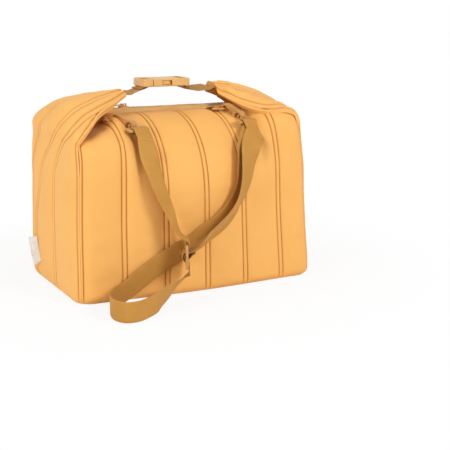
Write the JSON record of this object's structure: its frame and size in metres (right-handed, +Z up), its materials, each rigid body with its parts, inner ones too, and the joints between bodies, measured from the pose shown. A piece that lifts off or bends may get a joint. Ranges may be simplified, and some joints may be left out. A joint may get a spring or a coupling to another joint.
{
  "type": "insulated bag",
  "caption": "Quilted insulated bag with a zipped roof, two folded ends that clip together as a carry handle, and a shoulder strap on swivel snap hooks.",
  "frame": {"origin": "middle of the underside of the base, where the bag stands on the floor", "axes": "+X along the bag towards the end where the buckle's socket is fixed, -Y out of the front where the strap hangs, +Z up"},
  "size_m": [0.3452, 0.2985, 0.261],
  "materials": {
    "panel_cloth": "quilted woven cloth, warm amber",
    "side_cloth": "quilted woven cloth, warm amber, slightly lighter",
    "foam": "closed-cell foam board",
    "liner_film": "foil-faced film, satin",
    "webbing": "ribbed webbing, ochre",
    "plastic": "moulded plastic, semi-gloss, ochre",
    "zip_tape": "woven zip tape, tan",
    "tag_cloth": "plain white tag"
  },
  "bodies": {
    "bag": {"front_panel": "panel_cloth", "back_panel": "panel_cloth", "left_side_panel": "side_cloth", "right_side_panel": "side_cloth", "base_panel": "panel_cloth", "front_insulation": "foam", "back_insulation": "foam", "left_insulation": "foam", "right_insulation": "foam", "base_insulation": "foam", "liner": "liner_film", "zip_tape_front": "zip_tape", "zip_tape_back": "zip_tape", "zip_teeth_front": "plastic", "zip_teeth_back": "plastic", "left_ring_tab": "webbing", "right_ring_tab": "webbing", "strap_left_run": "webbing", "strap_fall": "webbing", "strap_floor_loop": "webbing", "strap_right_inner": "webbing", "strap_right_outer": "webbing", "side_tag": "tag_cloth"},
    "left_ear": {"left_ear": "side_cloth", "left_ear_underside": "panel_cloth", "left_web_anchor": "webbing", "left_handle_web": "webbing"},
    "right_ear": {"right_ear": "side_cloth", "right_ear_underside": "panel_cloth", "right_web_anchor": "webbing", "right_handle_web": "webbing"},
    "buckle_plug": {"buckle_plug": "plastic"},
    "buckle_socket": {"buckle_socket": "plastic"},
    "front_latch": {"buckle_latch_front": "plastic"},
    "back_latch": {"buckle_latch_back": "plastic"},
    "zip_slider": {"zip_slider": "plastic"},
    "zip_pull": {"zip_pull": "plastic"},
    "left_ring": {"left_d_ring": "plastic", "left_strap_loop": "plastic"},
    "left_hook": {"left_hook_body": "plastic"},
    "left_gate": {"left_hook_gate": "plastic"},
    "right_ring": {"right_d_ring": "plastic", "right_strap_loop": "plastic"},
    "right_hook": {"right_hook_body": "plastic"},
    "right_gate": {"right_hook_gate": "plastic"},
    "strap_adjuster": {"strap_adjuster": "plastic"}
  },
  "joints": [
    {"name": "left_ear_fold", "type": "hinge", "parent": "bag", "child": "left_ear", "pos_m": [-0.162, 0, 0.19], "axis": [0, -1, 0], "range_deg": [0, 100]},
    {"name": "right_ear_fold", "type": "hinge", "parent": "bag", "child": "right_ear", "pos_m": [0.162, 0, 0.19], "axis": [0, 1, 0], "range_deg": [0, 100]},
    {"name": "plug_level", "type": "hinge", "parent": "left_ear", "child": "buckle_plug", "pos_m": [-0.067, 0, 0.2425], "axis": [0, -1, 0], "range_deg": [-100, 0], "deforming": ["left_handle_web", "buckle_latch_front", "buckle_latch_back"]},
    {"name": "socket_level", "type": "hinge", "parent": "right_ear", "child": "buckle_socket", "pos_m": [0.067, 0, 0.2425], "axis": [0, 1, 0], "range_deg": [-100, 0], "deforming": ["right_handle_web"]},
    {"name": "front_latch_press", "type": "hinge", "parent": "buckle_plug", "child": "front_latch", "pos_m": [-0.027, -0.0105, 0.256], "axis": [0, 0, 1], "range_deg": [0, 11], "stiffness_Nm_per_rad": 0.1},
    {"name": "back_latch_press", "type": "hinge", "parent": "buckle_plug", "child": "back_latch", "pos_m": [-0.027, 0.0105, 0.256], "axis": [0, 0, -1], "range_deg": [0, 11], "stiffness_Nm_per_rad": 0.1},
    {"name": "zip_slide", "type": "slide", "parent": "bag", "child": "zip_slider", "axis": [1, 0, 0], "range_m": [0, 0.14], "deforming": ["zip_tape_front", "zip_tape_back", "zip_teeth_front", "zip_teeth_back"]},
    {"name": "zip_pull_swing", "type": "hinge", "parent": "zip_slider", "child": "zip_pull", "pos_m": [-0.062, 0, 0.2279], "axis": [0, 1, 0], "range_deg": [0, 25]},
    {"name": "left_ring_swing", "type": "hinge", "parent": "bag", "child": "left_ring", "pos_m": [-0.09109, -0.02991, 0.2144], "axis": [-0.9239, -0.3827, 0], "range_deg": [0, 20], "deforming": ["strap_left_run"]},
    {"name": "left_hook_swivel", "type": "hinge", "parent": "left_ring", "child": "left_hook", "pos_m": [-0.0865, -0.041, 0.2144], "axis": [0.3705, -0.8944, -0.2504], "range_deg": [-15, 15]},
    {"name": "left_gate_press", "type": "hinge", "parent": "left_hook", "child": "left_gate", "pos_m": [-0.08194, -0.05201, 0.20615], "axis": [0.9239, 0.3827, 0], "range_deg": [0, 25], "stiffness_Nm_per_rad": 0.02},
    {"name": "right_ring_swing", "type": "hinge", "parent": "bag", "child": "right_ring", "pos_m": [0.06118, -0.0298, 0.2213], "axis": [-0.933, -0.3599, 0], "range_deg": [0, 20], "deforming": ["strap_right_inner", "strap_right_outer"]},
    {"name": "right_hook_swivel", "type": "hinge", "parent": "right_ring", "child": "right_hook", "pos_m": [0.0655, -0.041, 0.2213], "axis": [0.336, -0.871, -0.3584], "range_deg": [-15, 15]},
    {"name": "right_gate_press", "type": "hinge", "parent": "right_hook", "child": "right_gate", "pos_m": [0.06942, -0.05117, 0.21176], "axis": [0.933, 0.3599, 0], "range_deg": [0, 25], "stiffness_Nm_per_rad": 0.02},
    {"name": "adjuster_slide", "type": "slide", "parent": "bag", "child": "strap_adjuster", "axis": [-0.2009, 0.1005, 0.9744], "range_m": [0, 0.03], "deforming": ["strap_left_run", "strap_right_outer", "strap_fall"]}
  ],
  "couplings": [
    {"joint": "right_ear_fold", "follows": "left_ear_fold", "ratio": 1},
    {"joint": "plug_level", "follows": "left_ear_fold", "ratio": -1},
    {"joint": "socket_level", "follows": "left_ear_fold", "ratio": -1},
    {"joint": "back_latch_press", "follows": "front_latch_press", "ratio": 1}
  ]
}
